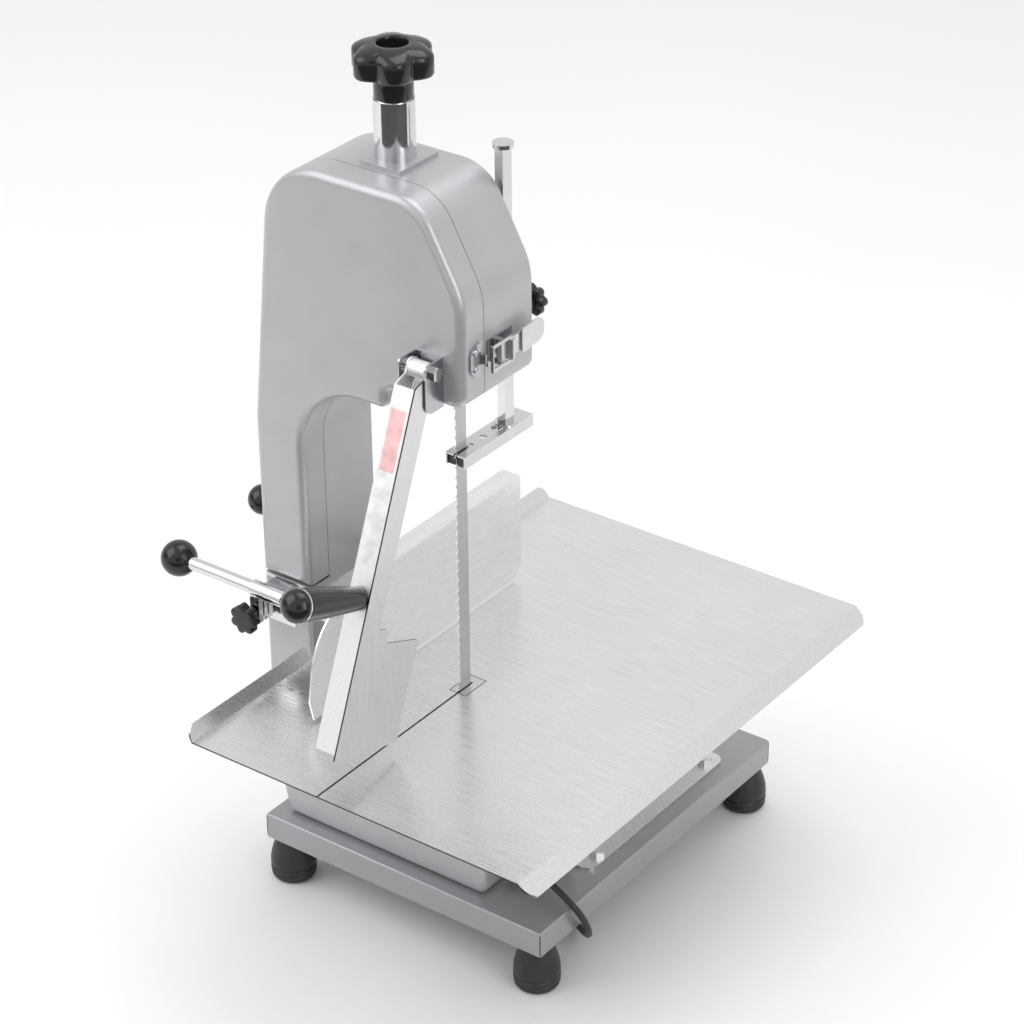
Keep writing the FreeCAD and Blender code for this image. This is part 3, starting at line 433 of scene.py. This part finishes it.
def pusher_grip():
    """Barrel-shaped grip with a domed end cap."""
    axis = Vector((0, -math.cos(PUSHER_TILT), math.sin(PUSHER_TILT)))
    ring = middle("grip_ring")
    root = ring - axis * GRIP_BEHIND_RING
    mesh = bmesh.new()
    steps = 28
    barrel = [(0, 0), (0.0082, 0), (0.0098, 0.0009)]
    for index in range(1, steps + 1):
        share = index / steps
        radius = 0.0100 + 0.0040 * math.sin(share * math.pi / 2) ** 1.2
        barrel.append((radius, 0.0015 + (GRIP_LENGTH - 0.0015) * share))
    barrel.append((0, GRIP_LENGTH))
    spin(mesh, barrel, 72)
    moved(mesh, aim(axis, root))
    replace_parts(piece_from("grip_barrel", mesh, "pusher", "black_plastic"), "pusher_grip")
    cap = bmesh.new()
    dome = [(0, 0)]
    radius, rise, rings = 0.0141, 0.0121, 16
    for index in range(rings):
        angle = math.pi / 2 * index / rings
        dome.append((radius * math.cos(angle), rise * math.sin(angle)))
    dome.append((0, rise))
    spin(cap, dome, 72)
    moved(cap, aim(axis, ring + axis * 0.0008))
    piece_from("grip_dome", cap, "pusher", "black_plastic")


def feet():
    """Bell-shaped rubber feet with moulded rings, one mesh each."""
    low, high = span("rubber_feet")
    seat = span("base_tray")[0].z
    profile = [(0, 0), (0.0165, 0), (0.0185, 0.0009), (0.0200, 0.0030), (0.0207, 0.0055), (0.0204, 0.0070),
               (0.0196, 0.0076), (0.0196, 0.0082), (0.0209, 0.0090), (0.0210, 0.0110), (0.0208, 0.0124),
               (0.0198, 0.0130), (0.0198, 0.0137), (0.0209, 0.0145), (0.0208, 0.0190), (0.0202, 0.0240),
               (0.0188, 0.0300), (0.0168, 0.0360), (0.0148, 0.0410), (0.0136, seat), (0, seat)]
    made = []
    for side, x in (("left", low.x + FOOT_RADIUS), ("right", high.x - FOOT_RADIUS)):
        for end, y in (("front", low.y + FOOT_RADIUS), ("back", high.y - FOOT_RADIUS)):
            mesh = bmesh.new()
            spin(mesh, profile, 72)
            moved(mesh, Matrix.Translation((x, y, 0)))
            made.append(piece_from(f"foot_{end}_{side}", mesh, "root", "black_rubber"))
    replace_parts(made[0], "rubber_feet")


# ---------------------------------------------------------------- small marks and seams

def slab(mesh, low, high):
    """Add a box between two corners in millimetres."""
    low, high = Vector(low) * MM, Vector(high) * MM
    matrix = Matrix.Translation((low + high) / 2) @ Matrix.Diagonal((*(high - low), 1))
    bmesh.ops.create_cube(mesh, size=1, matrix=matrix)


def hung():
    """Matrix from the pusher's own frame, hanging from its pivot, to the row's frame."""
    pivot = middle("pivot_bolt")
    return Matrix.Translation((BLADE_X, pivot.y, pivot.z)) @ Matrix.Rotation(-PUSHER_TILT, 4, "X")


def label():
    """Blank film on the pusher's front face, white with a pink field."""
    films = [("label_film", "label_film", (-7.6, -18.50, -162), (10.4, -18.28, -24)),
             ("label_field", "pink_film", (-5.8, -18.60, -84), (8.6, -18.45, -33))]
    for name, key, low, high in films:
        mesh = bmesh.new()
        slab(mesh, low, high)
        moved(mesh, hung())
        soften(piece_from(name, mesh, "pusher", key), 0.00008, 2)


def table_marks():
    """Dark joint round the blade insert, and a dark strip under the slot in front of it, painted shade of
    the slot.
    """
    table_low, table_high = span("work_table")
    top = table_high.z - TABLE_LIP_RISE
    left, right = BLADE_X - 0.009, BLADE_X + 0.009
    front, back = GULLET_Y - 0.005, GULLET_Y + 0.025
    gap, depth, sunk = 0.0007, 0.0014, 0.0004
    mesh = bmesh.new()
    strips = [((left, front), (right, front + gap)), ((left, back - gap), (right, back)),
              ((left, front + gap), (left + gap, back - gap)),
              ((right - gap, front + gap), (right, back - gap))]
    for (x0, y0), (x1, y1) in strips:
        slab(mesh, Vector((x0, y0, top - depth)) / MM, Vector((x1, y1, top - sunk)) / MM)
    piece_from("insert_joint", mesh, "root", "dark_mark")
    # Painted shade: a dark strip laid under the table's slot, standing for the shade down in the slot.
    mesh = bmesh.new()
    slot_half = 0.004
    slab(mesh, Vector((BLADE_X - slot_half, table_low.y + 0.002, top - 0.0032)) / MM,
         Vector((BLADE_X + slot_half, front - 0.004, top - 0.0017)) / MM)
    piece_from("slot_shade_strip", mesh, "root", "dark_mark")


def scale_numbers():
    """Plain numbers of the table's scale, as thin raised figures."""
    top = span("work_table")[1].z - TABLE_LIP_RISE
    spacing, middle_number, middle_x, line_y, proud = 11.8, 9, -108, -86, 0.00002
    for number in range(7, 12):
        curve = bpy.data.curves.new(f"scale_{number}", "FONT")
        curve.body = str(number)
        curve.size = 0.0062
        curve.align_x = "CENTER"
        curve.extrude = 0.00003
        curve.resolution_u = 4
        text = bpy.data.objects.new("text", curve)
        bpy.context.collection.objects.link(text)
        bpy.context.view_layer.update()
        mesh = bmesh.new()
        mesh.from_mesh(text.to_mesh())
        text.to_mesh_clear()
        bpy.data.objects.remove(text)
        bpy.data.curves.remove(curve)
        place = at(middle_x - spacing * (number - middle_number), line_y, 0) + Vector((0, 0, top + proud))
        moved(mesh, Matrix.Translation(place))
        piece_from(f"scale_{number}", mesh, "root", "dark_mark")


def tray_seams():
    """Open folded seams at the tray's four corners."""
    low, high = span("base_tray")
    inset = 0.00073
    mesh = bmesh.new()
    for x in (low.x + inset, high.x - inset):
        for y in (low.y + inset, high.y - inset):
            spot = Matrix.Translation((x, y, (low.z + high.z) / 2 - 0.0006))
            turned = spot @ Matrix.Rotation(math.pi / 4, 4, "Z")
            size = Matrix.Diagonal((0.0009, 0.0009, high.z - low.z - 0.004, 1))
            bmesh.ops.create_cube(mesh, size=1, matrix=turned @ size)
    piece_from("tray_seams", mesh, "root", "dark_mark")


# ---------------------------------------------------------------- cord

ROUTE = [(60, 10, 82), (83, 7, 82), (110, -3, 81), (127, 1, 64), (126, 14, 38), (111, 33, 15),
         (82, 54, 4.5), (50, 80, 4.3), (23, 108, 5), (3, 138, 8), (-7, 166, 9.5)]


def make_cord():
    """Supply cord as one smooth curve: the route, then the turns of its coil under the base."""
    centre = middle("cord_coil")
    low, high = span("cord_coil")
    lift, lift_share = 0.006, 6
    ring = (high.x - low.x) / 2 - (high.z - low.z) / 2
    points = [at(*point) for point in ROUTE[:-1]]
    for index in range(COIL_TURNS * COIL_POINTS_PER_TURN + 1):
        angle = math.tau * index / COIL_POINTS_PER_TURN
        across = angle / lift_share
        reach = ring + lift * math.cos(across)
        height = lift * math.sin(across)
        points.append(centre + Vector((reach * math.cos(angle), reach * math.sin(angle), height)))
    data = bpy.data.curves.new("supply_cord", "CURVE")
    data.dimensions = "3D"
    data.bevel_depth = CORD_DIAMETER / 2
    data.bevel_resolution = 6
    data.resolution_u = 8
    data.use_fill_caps = True
    line = data.splines.new("NURBS")
    line.points.add(len(points) - 1)
    for point, place in zip(line.points, points):
        point.co = (*place, 1)
    line.order_u = 3
    line.use_endpoint_u = True
    item = bpy.data.objects.new("supply_cord", data)
    bpy.context.collection.objects.link(item)
    data.materials.append(MATERIALS["black_rubber"])
    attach(item, "root")
    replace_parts(item, "cord_tube", "cord_coil")


# ---------------------------------------------------------------- camera and light

def look(azimuth, elevation, roll, target, shift_right, shift_up, distance, lens):
    """Camera that looks along one direction, moved sideways from a target point."""
    azimuth, elevation, roll = (math.radians(value) for value in (azimuth, elevation, roll))
    back = Vector((math.sin(azimuth) * math.cos(elevation), -math.cos(azimuth) * math.cos(elevation),
                   math.sin(elevation)))
    right = Vector((math.cos(azimuth), math.sin(azimuth), 0))
    up = back.cross(right)
    turned_right = right * math.cos(roll) + up * math.sin(roll)
    turned_up = back.cross(turned_right)
    data = bpy.data.cameras.new("camera")
    data.lens = lens
    data.sensor_width = 36
    data.clip_end = 50
    camera = bpy.data.objects.new("camera", data)
    bpy.context.collection.objects.link(camera)
    place = target + turned_right * shift_right + turned_up * shift_up + back * distance
    axes = Matrix((turned_right, turned_up, back)).transposed().to_4x4()
    camera.matrix_world = Matrix.Translation(place) @ axes
    bpy.context.scene.camera = camera


def area_light(name, place, target, size, power):
    """Soft box aimed at a point."""
    data = bpy.data.lights.new(name, "AREA")
    data.shape = "RECTANGLE"
    data.size, data.size_y = size
    data.energy = power
    item = bpy.data.objects.new(name, data)
    bpy.context.collection.objects.link(item)
    item.location = place
    item.rotation_euler = (Vector(target) - Vector(place)).to_track_quat("-Z", "Y").to_euler()


def stage_piece(name, mesh, dark, light, rough):
    """A flat studio piece from a bmesh, with its own plain material."""
    data = bpy.data.meshes.new(name)
    mesh.to_mesh(data)
    mesh.free()
    item = bpy.data.objects.new(name, data)
    bpy.context.collection.objects.link(item)
    graph = Graph(name)
    graph.colour(graph.mix(graph.ramp(graph.noise(1.5, 2), 0, 1), dark, light))
    graph.set(Roughness=rough)
    data.materials.append(graph.material)
    return item


def make_floor():
    """Plain pale floor."""
    mesh = bmesh.new()
    bmesh.ops.create_grid(mesh, x_segments=2, y_segments=2, size=9)
    stage_piece("floor", mesh, (0.86, 0.86, 0.86), (0.88, 0.88, 0.88), 0.7)


def make_flag():
    """Dark studio flag lying toward the camera, seen only in reflections."""
    near, far, half, height = 0.5, 4.0, 3.0, 0.003
    toward = Vector((math.sin(VIEW_AZIMUTH), -math.cos(VIEW_AZIMUTH), 0))
    aside = Vector((toward.y, -toward.x, 0)) * half
    up = Vector((0, 0, height))
    corners = [toward * near + aside + up, toward * near - aside + up,
               toward * far - aside + up, toward * far + aside + up]
    mesh = bmesh.new()
    mesh.faces.new([mesh.verts.new(corner) for corner in corners])
    flag = stage_piece("flag", mesh, (0.06, 0.06, 0.06), (0.07, 0.07, 0.07), 0.9)
    flag.visible_camera = False
    flag.visible_diffuse = False
    flag.visible_shadow = False


def make_world():
    """Pale surroundings with dark cards: each a direction, its outer and inner cosine, and its light."""
    world = bpy.data.worlds.new("studio")
    world.use_nodes = True
    tree = world.node_tree
    background = tree.nodes["Background"]
    background.inputs["Strength"].default_value = 0.85
    coords = tree.nodes.new("ShaderNodeTexCoord")
    previous = None
    cards = [((0.50, -0.72, 0.30), 0.955, 0.985, 0.06), ((-0.86, -0.45, 0.2), 0.93, 0.97, 0.25),
             ((0.95, 0.25, 0.1), 0.93, 0.97, 0.3)]
    for direction, outer, inner, dark in cards:
        dot = tree.nodes.new("ShaderNodeVectorMath")
        dot.operation = "DOT_PRODUCT"
        dot.inputs[1].default_value = Vector(direction).normalized()
        tree.links.new(coords.outputs["Generated"], dot.inputs[0])
        ramp = tree.nodes.new("ShaderNodeMapRange")
        ramp.interpolation_type = "SMOOTHSTEP"
        for key, value in (("From Min", outer), ("From Max", inner), ("To Min", 1.0), ("To Max", dark)):
            ramp.inputs[key].default_value = value
        tree.links.new(dot.outputs["Value"], ramp.inputs["Value"])
        if previous is None:
            previous = ramp.outputs["Result"]
            continue
        times = tree.nodes.new("ShaderNodeMath")
        times.operation = "MULTIPLY"
        tree.links.new(previous, times.inputs[0])
        tree.links.new(ramp.outputs["Result"], times.inputs[1])
        previous = times.outputs["Value"]
    tree.links.new(previous, background.inputs["Color"])
    bpy.context.scene.world = world


def make_studio():
    """Floor, dark flag, surroundings and soft boxes."""
    make_floor()
    make_flag()
    make_world()
    bpy.context.scene.view_settings.view_transform = "Standard"
    area_light("key", (-1.7, -1.6, 2.3), (0, 0, 0.4), (2.4, 2.4), 34)
    area_light("right", (2.4, -0.6, 1.4), (0, 0, 0.4), (1.0, 1.8), 14)
    area_light("top", (0.2, 0.6, 2.6), (0, 0, 0.3), (1.6, 1.6), 18)


look(azimuth=math.degrees(VIEW_AZIMUTH), elevation=29.95, roll=-0.56, target=at(0, 0, 381.3),
     shift_right=0.0449, shift_up=0.0384, distance=2.657, lens=111.69)
make_cord()
paint_nodes()
tension_wheel()
clamp_knob("fence_star_knob", "fence_clamp_knob", "fence_knob", -1)
clamp_knob("post_star_knob", "post_clamp_knob", "post_knob", 1)
round_ball("fence_ball_knob", "fence_ball", "fence")
round_ball("side_ball_knob", "side_handle_ball", "root")
pusher_grip()
feet()
label()
table_marks()
scale_numbers()
tray_seams()
make_studio()
